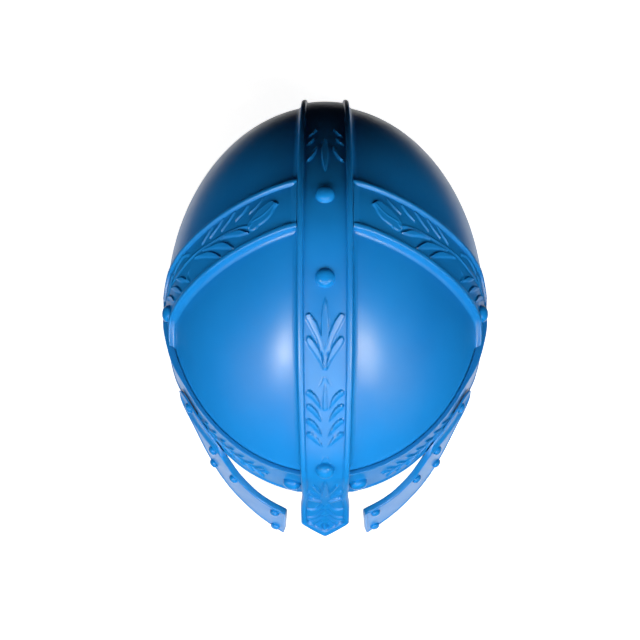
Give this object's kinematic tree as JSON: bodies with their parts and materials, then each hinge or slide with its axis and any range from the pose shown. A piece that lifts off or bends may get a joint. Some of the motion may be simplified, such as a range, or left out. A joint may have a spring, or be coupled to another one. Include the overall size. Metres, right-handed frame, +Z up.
{
  "type": "nasal helmet with cheek guards",
  "caption": "Domed helmet with a crest band running down into a nose guard, a brow band, ear bands, cheek guards and domed rivets, moulded in glossy blue plastic.",
  "frame": {"origin": "bottom centre of the bounding box, on the surface that the helmet rests on", "axes": "+Z up from the surface; +Y from the face towards the nape; +X to the right of someone who faces the helmet, which is the wearer's left"},
  "size_m": [0.2112, 0.299, 0.1813],
  "materials": {
    "shell": "glossy moulded blue plastic, very slightly uneven",
    "bands": "glossy moulded blue plastic, raised leaf work, edges slightly worn",
    "cheeks": "glossy moulded blue plastic",
    "rivets": "glossy moulded blue plastic, domed heads"
  },
  "bodies": {
    "root": {"skull": "shell", "brow_band": "bands", "crest_band": "bands", "side_band_left": "bands", "side_band_right": "bands", "cheek_guard_left": "cheeks", "cheek_guard_right": "cheeks", "rivet_crest_top": "rivets", "rivet_crest_front": "rivets", "rivet_crest_brow": "rivets", "rivet_crest_rear": "rivets", "rivet_side_left": "rivets", "rivet_brow_left": "rivets", "rivet_temple_left": "rivets", "rivet_cheek_a_left": "rivets", "rivet_cheek_b_left": "rivets", "rivet_cheek_c_left": "rivets", "rivet_cheek_d_left": "rivets", "rivet_cheek_e_left": "rivets", "rivet_side_right": "rivets", "rivet_brow_right": "rivets", "rivet_temple_right": "rivets", "rivet_cheek_a_right": "rivets", "rivet_cheek_b_right": "rivets", "rivet_cheek_c_right": "rivets", "rivet_cheek_d_right": "rivets", "rivet_cheek_e_right": "rivets"}
  },
  "joints": []
}
